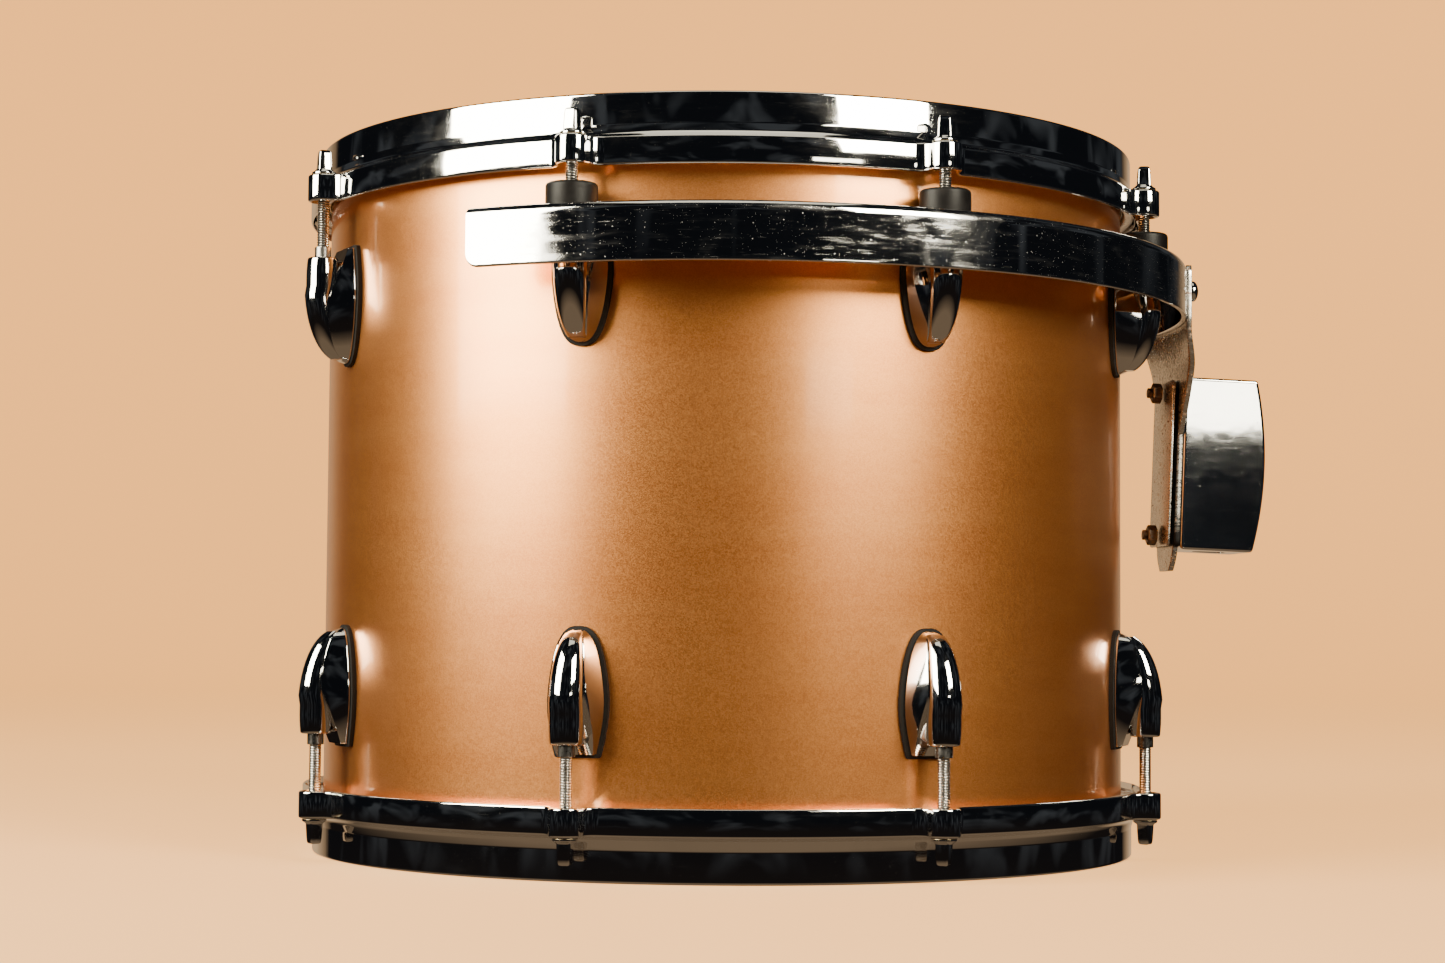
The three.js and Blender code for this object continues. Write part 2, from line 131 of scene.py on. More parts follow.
def slab(outline, low, high, edge, steps=3, hold=0.0):
    # an outline of (x, z) with a thickness along Y and eased edges; hold keeps its flats flat
    count = len(outline)
    normals = []
    for i in range(count):
        along = Vector(outline[(i + 1) % count]) - Vector(outline[i - 1])
        normals.append(Vector((along.y, -along.x)).normalized())
    area = sum(ax * bz - bx * az for (ax, az), (bx, bz) in zip([outline[-1], *outline], outline))
    out = 1 if area > 0 else -1

    def ring(inset, y):
        return [
            (x - out * n.x * inset, y, z - out * n.y * inset) for (x, z), n in zip(outline, normals)
        ]

    rings = [ring(edge * (1 - math.sin(a)), low + edge * (1 - math.cos(a))) for a in quarter(steps)]
    backs = [ring(edge * (1 - math.cos(a)), high - edge * (1 - math.sin(a))) for a in quarter(steps)]
    if hold:
        rings = [ring(edge + hold, low), *rings, ring(0, low + edge + hold)]
        backs = [ring(0, high - edge - hold), *backs, ring(edge + hold, high)]
    return skin(rings + backs)


def merged(*shapes):
    points, faces = [], []
    for shapePoints, shapeFaces in shapes:
        start = len(points)
        points += shapePoints
        faces += [tuple(i + start for i in face) for face in shapeFaces]
    return points, faces


def moved(shape, matrix):
    return [tuple(matrix @ Vector(point)) for point in shape[0]], shape[1]


def makePiece(name, shape, material, sharp=32):
    # a mesh object in metres, with clean closed faces that point outwards
    points, faces = shape
    mesh = bpy.data.meshes.new(name)
    mesh.from_pydata([tuple(c * mm for c in point) for point in points], [], faces)
    tidyMesh(mesh, sharp)
    mesh.materials.append(material)
    piece = bpy.data.objects.new(name, mesh)
    bpy.context.scene.collection.objects.link(piece)
    return piece


def tidyMesh(mesh, sharp=32):
    work = bmesh.new()
    work.from_mesh(mesh)
    bmesh.ops.remove_doubles(work, verts=work.verts, dist=2e-6)
    bmesh.ops.dissolve_degenerate(work, edges=work.edges, dist=1e-6)
    loose = [edge for edge in work.edges if not edge.link_faces]
    bmesh.ops.delete(work, geom=loose, context="EDGES")
    bmesh.ops.recalc_face_normals(work, faces=work.faces)
    work.to_mesh(mesh)
    work.free()
    for face in mesh.polygons:
        face.use_smooth = True
    mesh.set_sharp_from_angle(angle=math.radians(sharp))


def inTriangles(mesh):
    # the faces of many corners are split, which the cuts need
    work = bmesh.new()
    work.from_mesh(mesh)
    wide = [face for face in work.faces if len(face.verts) > 4]
    bmesh.ops.triangulate(work, faces=wide)
    work.to_mesh(mesh)
    work.free()


def plainMesh(piece):
    # the evaluated shape takes the place of the piece's mesh, and its modifiers go
    seen = piece.evaluated_get(bpy.context.evaluated_depsgraph_get())
    mesh = bpy.data.meshes.new_from_object(seen)
    piece.modifiers.clear()
    piece.data = mesh
    tidyMesh(mesh)
    return piece


def bored(piece, tools, join="DIFFERENCE"):
    # the piece with other shapes cut from it, or joined to it
    for number, tool in enumerate(tools):
        cutter = makePiece(f"{piece.name}Tool{number}", tool, piece.data.materials[0])
        for solid in (piece, cutter):
            inTriangles(solid.data)
        modifier = piece.modifiers.new("cut", "BOOLEAN")
        modifier.operation, modifier.solver, modifier.object = join, "EXACT", cutter
        plainMesh(piece)
        bpy.data.objects.remove(cutter)
    return piece


def finished(piece, body, slot, *nodes):
    # the piece hung on its body, and the nodes of the part that it stands in for hidden; slot is not
    # used
    if nodes:
        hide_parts(*nodes)
    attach(piece, body)
    return piece


# finishes

def add(tree, kind, inputs=None, **settings):
    # a node, with links or values for its inputs
    node = tree.nodes.new(kind)
    for key, value in settings.items():
        setattr(node, key, value)
    for key, value in (inputs or {}).items():
        if isinstance(value, bpy.types.NodeSocket):
            tree.links.new(value, node.inputs[key])
        else:
            node.inputs[key].default_value = value
    return node


def newFinish(name, colour, metallic, roughness, **sockets):
    # a material, its tree, its shader and the place on the object that its grains are drawn at
    material = bpy.data.materials.new(name)
    material.use_nodes = True
    tree = material.node_tree
    shader = tree.nodes["Principled BSDF"]
    shader.inputs["Base Color"].default_value = (*colour, 1)
    shader.inputs["Metallic"].default_value = metallic
    shader.inputs["Roughness"].default_value = roughness
    for key, value in sockets.items():
        shader.inputs[key.replace("_", " ")].default_value = value
    place = add(tree, "ShaderNodeTexCoord").outputs["Object"]
    return material, tree, shader, place


def stretched(tree, place, scale):
    # the place, scaled apart along each axis
    return add(tree, "ShaderNodeMapping", {"Vector": place, "Scale": scale}).outputs["Vector"]


def grain(tree, place, scale, detail=3, roughness=0.55, distortion=0.0):
    return add(tree, "ShaderNodeTexNoise", {
        "Vector": place, "Scale": scale, "Detail": detail, "Roughness": roughness,
        "Distortion": distortion,
    }).outputs["Fac"]


def ranged(tree, value, low, high, start, end):
    # low to high becomes start to end, and goes no further
    return add(tree, "ShaderNodeMapRange", {
        "Value": value, "From Min": low, "From Max": high, "To Min": start, "To Max": end,
    }).outputs["Result"]


def summed(tree, a, b, operation="ADD"):
    return add(tree, "ShaderNodeMath", {0: a, 1: b}, operation=operation).outputs[0]


def blended(tree, factor, a, b):
    colours = {0: factor}
    colours[6] = a if isinstance(a, bpy.types.NodeSocket) else (*a, 1)
    colours[7] = b if isinstance(b, bpy.types.NodeSocket) else (*b, 1)
    return add(tree, "ShaderNodeMix", colours, data_type="RGBA").outputs[2]


def specks(tree, place, scale, size, softness=0.05):
    # 1 inside scattered specks, 0 between them
    cells = add(tree, "ShaderNodeTexVoronoi", {"Vector": place, "Scale": scale})
    chosen = add(tree, "ShaderNodeSeparateColor", {"Color": cells.outputs["Color"]}).outputs[0]
    few = ranged(tree, chosen, 0.7, 0.72, 0, 1)
    near = ranged(tree, cells.outputs["Distance"], size, size + softness, 1, 0)
    return summed(tree, few, near, "MULTIPLY")


def bumpy(tree, shader, height, distance, strength=1.0):
    bump = add(tree, "ShaderNodeBump", {
        "Height": height, "Distance": distance, "Strength": strength,
    })
    tree.links.new(bump.outputs["Normal"], shader.inputs["Normal"])


def chromeFinish(name, colour, haze, dust, scratches, wave=0.00004):
    # plated steel: a mirror with finger haze, dust specks, fine scratches and a slight wave
    material, tree, shader, place = newFinish(name, colour, 1.0, 0.05)
    cloud = ranged(tree, grain(tree, place, 22, 6, 0.65, 0.8), 0.48, 0.72, 0, 1)
    smear = ranged(tree, grain(tree, stretched(tree, place, (60, 60, 420)), 1, 4), 0.5, 0.75, 0, 1)
    lines = ranged(tree, grain(tree, stretched(tree, place, (90, 90, 3200)), 1, 2), 0.68, 0.74, 0, 1)
    dots = summed(tree, specks(tree, place, 420, 0.07), specks(tree, place, 1500, 0.1))
    rough = 0.035  # where it is clean
    for mark, share in ((cloud, haze), (smear, haze * 0.7), (lines, scratches), (dots, dust)):
        rough = summed(tree, rough, summed(tree, mark, share, "MULTIPLY"))
    tree.links.new(rough, shader.inputs["Roughness"])
    dull = summed(tree, summed(tree, cloud, 0.2, "MULTIPLY"), summed(tree, dots, dust, "MULTIPLY"))
    dusty = tuple(c * 0.72 for c in colour)
    tree.links.new(blended(tree, dull, colour, dusty), shader.inputs["Base Color"])
    bumpy(tree, shader, grain(tree, place, 55, 2), wave)
    return material


def lacquerFinish():
    # copper base coat full of fine flake, under a clear coat
    flake = {"size": 2600, "deep": (0.6, 0.205, 0.055), "pale": (0.86, 0.39, 0.125)}
    material, tree, shader, place = newFinish(
        "copperLacquer", flake["deep"], 0.96, 0.32, Coat_Weight=0.5, Coat_Roughness=0.09,
        Coat_IOR=1.45,
    )
    cells = add(tree, "ShaderNodeTexVoronoi", {"Vector": place, "Scale": flake["size"]})
    sparkle = add(tree, "ShaderNodeSeparateColor", {"Color": cells.outputs["Color"]}).outputs[0]
    cloud = grain(tree, place, 14, 4)
    streak = grain(tree, stretched(tree, place, (14, 14, 90)), 1, 3)
    tone = summed(tree, ranged(tree, sparkle, 0, 1, 0.15, 0.5), ranged(tree, cloud, 0.3, 0.7, 0, 0.22))
    tone = summed(tree, tone, ranged(tree, streak, 0.35, 0.65, -0.05, 0.1))
    tree.links.new(blended(tree, tone, flake["deep"], flake["pale"]), shader.inputs["Base Color"])
    tree.links.new(ranged(tree, sparkle, 0, 1, 0.29, 0.36), shader.inputs["Roughness"])
    bumpy(tree, shader, sparkle, 0.00001, 0.15)
    # the clear coat keeps its own slight orange peel
    peel = add(tree, "ShaderNodeBump", {
        "Height": grain(tree, place, 260, 2), "Distance": 0.00001, "Strength": 0.6,
    })
    tree.links.new(peel.outputs["Normal"], shader.inputs["Coat Normal"])
    return material


def woodFinish():
    material, tree, shader, place = newFinish("shellPly", (0.5, 0.3, 0.15), 0, 0.55)
    rings = grain(tree, stretched(tree, place, (18, 18, 260)), 1, 5, 0.6, 1.2)
    pores = grain(tree, stretched(tree, place, (70, 70, 1500)), 1, 2)
    colour = blended(tree, ranged(tree, rings, 0.3, 0.7, 0, 1), (0.62, 0.4, 0.21), (0.42, 0.24, 0.11))
    colour = blended(tree, ranged(tree, pores, 0.6, 0.75, 0, 0.6), colour, (0.2, 0.1, 0.045))
    tree.links.new(colour, shader.inputs["Base Color"])
    bumpy(tree, shader, pores, 0.0001, 0.5)
    return material


def filmFinish(name, colour, roughness, grainHeight, **sockets):
    # drumhead film, with its sprayed or moulded grain
    material, tree, shader, place = newFinish(name, colour, 0, roughness, **sockets)
    cloud = grain(tree, place, 9, 4)
    fine = grain(tree, place, 1500, 2)
    worn = tuple(c * 0.86 for c in colour)
    tree.links.new(
        blended(tree, ranged(tree, cloud, 0.45, 0.75, 0, 1), colour, worn), shader.inputs["Base Color"]
    )
    tree.links.new(
        ranged(tree, cloud, 0.3, 0.7, roughness * 0.85, roughness * 1.15), shader.inputs["Roughness"]
    )
    bumpy(tree, shader, fine, grainHeight)
    return material


def rubberFinish(name, colour, roughness):
    material, tree, shader, place = newFinish(name, colour, 0, roughness, Specular_IOR_Level=0.2)
    dust = ranged(tree, grain(tree, place, 120, 5, 0.7), 0.5, 0.75, 0, 0.5)
    pale = tuple(c * 2.2 + 0.004 for c in colour)
    tree.links.new(blended(tree, dust, colour, pale), shader.inputs["Base Color"])
    tree.links.new(ranged(tree, dust, 0, 0.5, roughness, roughness + 0.2), shader.inputs["Roughness"])
    bumpy(tree, shader, grain(tree, place, 1800, 2), 0.00006, 0.6)
    return material


def steelFinish(name, colour, grainScale, roughness, rust=0.0):
    # rolled or turned steel, with its grain, some tarnish and, where asked, rust
    material, tree, shader, place = newFinish(name, colour, 1.0, roughness)
    lines = grain(tree, stretched(tree, place, grainScale), 1, 3)
    stain = grain(tree, place, 60, 5, 0.65, 0.4)
    dark = tuple(c * 0.6 for c in colour)
    tone = blended(tree, ranged(tree, stain, 0.42, 0.75, 0, 0.7), colour, dark)
    brown = ranged(tree, grain(tree, place, 420, 4, 0.7), 0.62 - rust * 0.4, 0.7 - rust * 0.3, 0, 1)
    if rust:
        tone = blended(tree, brown, tone, (0.14, 0.062, 0.03))
        tree.links.new(ranged(tree, brown, 0, 1, 1, 0.15), shader.inputs["Metallic"])
    tree.links.new(tone, shader.inputs["Base Color"])
    shade = ranged(tree, lines, 0.3, 0.7, roughness * 0.75, roughness * 1.35)
    if rust:
        shade = summed(tree, shade, summed(tree, brown, 0.35, "MULTIPLY"))
    tree.links.new(shade, shader.inputs["Roughness"])
    bumpy(tree, shader, lines, 0.00002, 0.5)
    return material


lacquer = lacquerFinish()
wood = woodFinish()
hoopChrome = chromeFinish("hoopChrome", (0.8, 0.79, 0.78), haze=0.05, dust=0.12, scratches=0.06)
lugChrome = chromeFinish("lugChrome", (0.74, 0.73, 0.72), haze=0.03, dust=0.08, scratches=0.04)
bandChrome = chromeFinish("bandChrome", (0.78, 0.77, 0.76), haze=0.16, dust=0.3, scratches=0.2)
clampChrome = chromeFinish("clampChrome", (0.78, 0.78, 0.78), haze=0.025, dust=0.15, scratches=0.05)
threadSteel = steelFinish("threadSteel", (0.8, 0.76, 0.7), (300, 300, 300), 0.2)
# dark steel of the swivel nuts, also laid on the rods' thread roots as painted shade in the grooves
nutSteelAndThreadShade = steelFinish("swivelNutSteelAndThreadShade", (0.26, 0.25, 0.24), (900, 900, 300), 0.3)
washerBrass = steelFinish("washerBrass", (0.62, 0.47, 0.28), (700, 700, 700), 0.28)
plateSteel = steelFinish("plateSteel", (0.66, 0.62, 0.57), (60, 700, 900), 0.26, rust=0.08)
rustySteel = steelFinish("rustySteel", (0.2, 0.17, 0.14), (700, 700, 700), 0.4, rust=0.15)
aluminium = steelFinish("fleshHoopAluminium", (0.76, 0.76, 0.77), (120, 120, 2600), 0.3)
rubber = rubberFinish("grommetRubber", (0.002, 0.0018, 0.002), 0.45)
padRubber = rubberFinish("seatRubber", (0.004, 0.0036, 0.0036), 0.7)
coatedFilm = filmFinish("coatedFilm", (0.8, 0.78, 0.73), 0.62, 0.00006)
clearFilm = filmFinish(
    "clearFilm", (0.9, 0.92, 0.92), 0.1, 0.000005, Transmission_Weight=0.85, IOR=1.4,
)


# repeats round the drum

def ringTree(material):
    # the piece's own shape, repeated round Z by a step from a first angle
    tree = bpy.data.node_groups.new("roundTheDrum", "GeometryNodeTree")
    tree.interface.new_socket("Geometry", in_out="INPUT", socket_type="NodeSocketGeometry")
    for name, kind in [("Count", "Int"), ("First Angle", "Float"), ("Step Angle", "Float"),
                       ("Turn Over", "Float"), ("Height", "Float")]:
        tree.interface.new_socket(name, in_out="INPUT", socket_type=f"NodeSocket{kind}")
    tree.interface.new_socket("Geometry", in_out="OUTPUT", socket_type="NodeSocketGeometry")
    inputs = add(tree, "NodeGroupInput").outputs
    height = add(tree, "ShaderNodeCombineXYZ", {"Z": inputs["Height"]})
    spots = add(tree, "GeometryNodePoints", {
        "Count": inputs["Count"], "Position": height.outputs[0],
    })
    number = add(tree, "GeometryNodeInputIndex").outputs[0]
    turn = summed(tree, inputs["First Angle"], summed(tree, number, inputs["Step Angle"], "MULTIPLY"))
    pose = add(tree, "ShaderNodeCombineXYZ", {"X": inputs["Turn Over"], "Z": turn})
    copies = add(tree, "GeometryNodeInstanceOnPoints", {
        "Points": spots.outputs[0], "Instance": inputs["Geometry"], "Rotation": pose.outputs[0],
    })
    real = add(tree, "GeometryNodeRealizeInstances", {0: copies.outputs[0]})
    coated = add(tree, "GeometryNodeSetMaterial", {0: real.outputs[0], "Material": material})
    add(tree, "NodeGroupOutput", {0: coated.outputs[0]})
    return tree


def repeated(piece, end="batter", count=8):
    # the piece's shape at the angle 0 becomes a ring of them at one end of the drum
    over = end == "resonant"
    modifier = piece.modifiers.new("ring", "NODES")
    modifier.node_group = ringTree(piece.data.materials[0])
    values = {
        "Count": count,
        "First Angle": math.radians(rodAngles[0]),
        "Step Angle": math.radians(rodStep),
        "Turn Over": math.pi if over else 0.0,
        "Height": -drum["filmToFilm"] * mm if over else 0.0,
    }
    for socket in modifier.node_group.interface.items_tree:
        if socket.name in values:
            modifier[socket.identifier] = values[socket.name]
    return plainMesh(piece)


# shell

def makeShell():
    size = {"bevel": 5.3, "edgeRound": 1.7, "edgeDrop": 2.3, "ventHole": 6.3}
    outer, inner = drum["radius"], drum["radius"] - drum["wall"]
    top, bottom = drum["top"], drum["top"] - drum["depth"]
    apex = outer - size["edgeRound"]
    corners = [
        (inner, bottom + size["bevel"]), (apex, bottom), (outer, bottom + size["edgeDrop"]),
        (outer, top - size["edgeDrop"]), (apex, top), (inner, top - size["bevel"]),
    ]
    outline = rounded(corners, [2, 0.6, 1.5, 1.5, 0.6, 2], 6)
    shell = makePiece("lacqueredShell", spun(outline, 256), lacquer)
    shell.data.materials.append(wood)
    for face in shell.data.polygons:
        middle = face.center / mm
        out = math.hypot(middle.x, middle.y)
        face.material_index = 0 if out > outer - 0.6 else 1
    circle = [(size["ventHole"] * math.cos(2 * math.pi * k / 40),
               size["ventHole"] * math.sin(2 * math.pi * k / 40)) for k in range(40)]
    tool = slab(circle, inner - 6, outer + 6, 0.1)
    bored(shell, [moved(tool, shiftedBy(z=-drum["filmToFilm"] / 2))])
    return finished(shell, "drum", "lacquered_shell", "shell")


def makeVent():
    size = {"bore": 4.8, "sleeve": 6, "flange": 9, "rim": 1.2}
    outside, inside = drum["radius"] + 0.3, drum["radius"] - drum["wall"] - 0.3
    corners = [
        (size["bore"], inside - size["rim"]), (size["flange"] - 1, inside - size["rim"]),
        (size["flange"] - 1, inside - 0.3), (size["sleeve"], inside - 0.3), (size["sleeve"], outside),
        (size["flange"], outside), (size["flange"] - 0.6, outside + size["rim"]),
        (size["bore"], outside + size["rim"]),
    ]
    lying = turnedTo(180) @ shiftedBy(z=-drum["filmToFilm"] / 2) @ turnedTo(90, "X")
    vent = makePiece("ventEyelet", moved(spun(rounded(corners, 0.5), 48), lying), lugChrome)
    return finished(vent, "drum", "chrome", "air_vent")


# heads

def endTurn(end):
    # the place of a ring drawn for the batter end
    return endPlace(end, 0) if end == "batter" else endPlace(end, 180)


def makeHead(end):
    size = {"thickness": 0.3, "flat": 172.5, "edge": 176.4, "collar": 177.9, "depth": 9.4,
            "bendTop": -0.8, "bendLow": -9.0}
    thick, collar = size["thickness"], size["collar"]
    outside = [
        (0, 0), (60, 0), (120, 0), (160, 0), (size["flat"], 0), (174.6, -0.1), (size["edge"], -0.75),
        (177.35, -1.75), (collar, -3.2), (collar, -6), (collar, -size["depth"]),
    ]
    inside = [(r - thick * (z < -thick), z - (thick if z > -1 else 0)) for r, z in reversed(outside)]
    film = moved(spun(outside + inside, 160), endTurn(end))
    name = "coatedBatterFilm" if end == "batter" else "clearResonantFilm"
    head = makePiece(name, film, coatedFilm if end == "batter" else clearFilm, sharp=50)
    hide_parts(f"{end}_head")
    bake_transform(head)
    hoop = rounded([(178.7, -12), (183.1, -12), (183.1, -5.9), (178.7, -5.9)], 1.3)
    ring = makePiece(f"{end}FleshHoop", moved(spun(hoop, 160), endTurn(end)), aluminium)
    finished(ring, f"{end}_rim", "aluminium", f"{end}_flesh_hoop")


# hoops

ear = {"radius": 6.65, "fillet": 5.6, "hole": 3.3}
hoopSize = {
    "lip": 12.8, "wallInner": 178.3, "wallOuter": 181.5, "coveTop": 0.2, "flangeTop": -5.2,
    "flangeBottom": -16.5, "flangeOuter": 186, "seatInner": 183.4, "seatTop": -5.6,
}


def hoopOutline():
    # points round the flange with its ears, as (across, out, normal across, normal out), per ear
    outer, circle = hoopSize["flangeOuter"], drum["rodCircle"]
    span, centre = ear["radius"] + ear["fillet"], outer + ear["fillet"]
    out = (centre ** 2 + circle ** 2 - span ** 2) / (2 * circle)
    side = math.sqrt(centre ** 2 - out ** 2)
    lean = math.atan2(side, out)
    touch = math.atan2(side, out - circle)  # from outwards to the fillet's centre, at the ear
    points = []
    for k in range(8):  # from the flange into the fillet
        turn = math.pi + lean + (touch - lean) * k / 7
        n = (math.sin(turn), math.cos(turn))
        points.append((side + ear["fillet"] * n[0], out + ear["fillet"] * n[1], -n[0], -n[1]))
    for k in range(1, 9):  # round the ear to its middle
        turn = touch * (1 - k / 8)
        n = (math.sin(turn), math.cos(turn))
        points.append((ear["radius"] * n[0], circle + ear["radius"] * n[1], n[0], n[1]))
    mirrored = [(-x, y, -nx, ny) for x, y, nx, ny in reversed(points[:-1])]
    return points + mirrored


def makeHoop(end):
    size = hoopSize
    one = hoopOutline()
    reach, spans = math.degrees(math.atan2(one[0][0], one[0][1])), 18
    columns = []
    for angle in rodAngles:
        for x, out, nx, ny in reversed(one):
            columns.append((angle, x, out, nx, ny))
        for k in range(1, spans):
            turn = math.radians(reach + (rodStep - 2 * reach) * k / spans)
            nx, ny = math.sin(turn), math.cos(turn)
            columns.append((angle, size["flangeOuter"] * nx, size["flangeOuter"] * ny, nx, ny))
    lipRoll, ease = 1.2, 0.9
    inner = rounded([
        (184.6, size["flangeTop"]), (size["wallOuter"] + 1.0, size["flangeTop"] + 1.7),
        (size["wallOuter"], size["coveTop"]), (size["wallOuter"], size["lip"]),
        (size["wallInner"], size["lip"]), (size["wallInner"], size["seatTop"]),
        (size["seatInner"], size["seatTop"]), (size["seatInner"], size["flangeBottom"]),
    ], [0, 3, 3, lipRoll, lipRoll, 0.3, 0.3, 0.4], 5)
    edges = [(ease * (1 - math.sin(a)), ease * (1 - math.cos(a))) for a in quarter(4)]
    below = [(inset, size["flangeBottom"] + rise) for inset, rise in edges]
    above = [(inset, size["flangeTop"] - rise) for inset, rise in reversed(edges)]
    rings = []
    for angle, x, out, nx, ny in columns:
        turn = math.radians(angle)
        ring = around(inner, turn + math.atan2(x, out))
        c, s = math.cos(turn), math.sin(turn)
        for inset, z in below + above:
            px, py = x - nx * inset, out - ny * inset
            ring.append((px * c + py * s, px * s - py * c, z))
        rings.append(ring)
    hoop = makePiece(f"{end}FlangedHoop", moved(skin(rings, closed=True), endTurn(end)), hoopChrome)
    holes = []
    for angle in rodAngles:
        tool = spun([(0, -20), (ear["hole"], -20), (ear["hole"], -2), (0, -2)], 24)
        holes.append(moved(tool, turnedTo(angle) @ toRodCircle))
    bored(hoop, [moved(merged(*holes), endTurn(end))])
    return finished(hoop, f"{end}_rim", "chrome", f"{end}_hoop")


# tension rods

def makeRod(end, number, angle):
    size = {
        "thread": 2.62, "root": 2.2, "pitch": 1.058, "tip": -54, "threadTop": -16, "threadEnd": -42,
        "seat": -4.9, "collar": 5.1, "collarHeight": 2.2, "headTop": 5.6, "across": 5.7,
    }
    columns, crest = 14, size["thread"] - size["root"]
    rows = [(size["tip"], False), (size["tip"] + 0.8, False)]
    z = size["threadEnd"]
    while z < size["threadTop"]:
        rows.append((z, True))
        z += size["pitch"] / 6
    rows += [(size["threadTop"] + 0.5, False), (size["seat"] + 0.4, False)]
    rings = []
    for z, threaded in rows:
        ring = []
        for j in range(columns):
            turn = 2 * math.pi * j / columns
            radius = size["thread"] if z > size["tip"] + 0.4 else size["thread"] - 0.7
            if threaded:
                phase = (z / size["pitch"] - j / columns) % 1
                radius = size["root"] + crest * (1 - abs(2 * phase - 1)) ** 0.8
            ring.append((radius * math.sin(turn), radius * math.cos(turn), z))
        rings.append(ring)
    stem = skin(rings)
    base, top = size["seat"], size["seat"] + size["collarHeight"]
    collar = spun(rounded([
        (0, base), (size["collar"], base), (size["collar"], base + 0.9),
        (size["collar"] - 1.3, top - 0.4), (size["across"] * 0.62, top), (0, top),
    ], [0, 0.2, 0.4, 0.5, 0.3, 0], 4), 36)
    square = []
    for z, share in [(base + 1.2, 1.0), (top + 0.6, 1.0), (3.2, 0.9), (4.6, 0.84), (5.2, 0.76),
                     (5.5, 0.6), (size["headTop"], 0.36)]:
        half = size["across"] / 2 * share
        corners = [(-half, -half), (half, -half), (half, half), (-half, half)]
        square.append([(x, y, z) for x, y in rounded(corners, half * 0.32, 4)])
    stopped = turnedTo(17 * (number * 5 % 7))  # no two heads stop at the same angle
    place = endPlace(end, angle) @ toRodCircle @ stopped
    shape = moved(merged(stem, collar, skin(square)), place)
    piece = makePiece(f"{end}TensionRod{number}", shape, threadSteel)
    # the thread's roots take the dark nut steel: painted shade in the thread's grooves
    for material in (lugChrome, washerBrass, nutSteelAndThreadShade):
        piece.data.materials.append(material)
    thread, plated, washer, root = range(4)
    axis = place @ Vector((0, 0, 0))
    level, way = (0, 1) if end == "batter" else (-drum["filmToFilm"], -1)
    for face in piece.data.polygons:
        height = (face.center.z / mm - level) * way
        if height > base + 0.35:
            face.material_index = plated
        elif height > base - 0.2:
            face.material_index = washer
        else:
            middle = face.center / mm
            out = math.hypot(middle.x - axis.x, middle.y - axis.y)
            # faces at the thread's root are painted dark: painted shade in the grooves
            face.material_index = root if out < size["root"] + 0.14 else thread
    return finished(piece, f"{end}_rod_{number}", "chrome", f"{end}_rod_{number}")


# lugs

lug = {
    "flatEnd": -36.1, "length": 48.2, "postStart": 4.1, "postRadius": 6.85, "standOff": 1.9,
    "notchEnd": 23, "ledge": 2.6, "rim": 0.7, "flankPower": 1.9, "padEdge": 1.3,
}
lugCentre = drum["rodCircle"] - drum["radius"] - lug["standOff"]


# down is how far a place on a lug is from its flat end

def baseHalfWidth(down):
    widest, flatEndHalf, gain = 20, 8.3, 3.1
    if down < widest:
        return flatEndHalf + gain * math.sin(math.pi / 2 * down / widest)
    reach = min(0.9999, (down - widest) / (lug["length"] - widest))
    return (flatEndHalf + gain) * (1 - reach ** 1.5) ** 0.35


def bodyHeight(down):
    full, power = lugCentre + lug["postRadius"], 2.2
    reach = min(0.998, max(0, (down - 12) / (lug["length"] - 12)))
    return full * (1 - reach ** power) ** (1 / power) + 0.9


def postRadius(down):
    reach = max(0, (down - 14) / (49.5 - 14))
    girth = 6.35 + 0.5 * math.sin(math.pi / 2 * min(1, max(0, down - lug["postStart"]) / 8))
    return min(girth * (1 - reach ** 2.5) ** (1 / 2.5), bodyHeight(down) * 0.6)


def lugShape():
    # the foot, with its sloping flanks and the notch under the post, and the bullet post
    standing = shiftedBy(y=-(drum["radius"] + lug["standOff"]), z=lug["flatEnd"])
    rim, power = lug["rim"], lug["flankPower"]
    rings = []
    for down in [0, 0.35, 1, 2.5, 5, 8, 12, 16, 20, 23, 26, 29, 32, 35, 38, 41, 43.5, 45.2, 46.5,
                 47.3, 47.8, 48.1, 48.19]:
        slope = min(1, down / lug["notchEnd"])
        half = baseHalfWidth(down)
        crown = max(0.2, min(postRadius(max(down, lug["notchEnd"])) + 1.2, half - 0.5) - rim)
        rise = min(lug["ledge"] + (lugCentre - lug["ledge"]) * slope, bodyHeight(down) * 0.62)
        rise *= 1 - 0.5 * max(0, (down - 44) / 4.2) ** 2
        shoulder = half - rim + (crown - half + rim) * slope
        side = [(shoulder + (half - shoulder) * math.cos(a) ** power,
                 rim + max(0.05, rise - rim) * math.sin(a) ** power) for a in quarter(8)]
        if down == 0:
            side = [(x - 0.3, y) for x, y in side]
        ring = [(half - 0.15, 0)] + side
        rings.append([(x, -y, -down) for x, y in ring] + [(-x, -y, -down) for x, y in reversed(ring)])
    foot = moved(skin(rings), standing)
    rings, lipRound = [], 0.8
    for down in [4.1, 4.25, 4.6, 5.2, 7, 9.5, 12, 16, 20, 24, 28, 31, 34, 37, 39.5, 41.5, 43.2, 44.6,
                 45.8, 46.7]:
        past = down - lug["postStart"]
        radius = postRadius(down)
        if past < lipRound:
            radius -= lipRound - math.sqrt(max(0, lipRound ** 2 - (lipRound - past) ** 2))
        top = bodyHeight(down)
        top = min(top, lugCentre + radius) if down < 20 else top
        rings.append([
            (radius * math.sin(a), -(top - radius) - radius * math.cos(a), -down)
            for a in [2 * math.pi * k / 40 for k in range(40)]
        ])
    return foot, moved(skin(rings), standing)


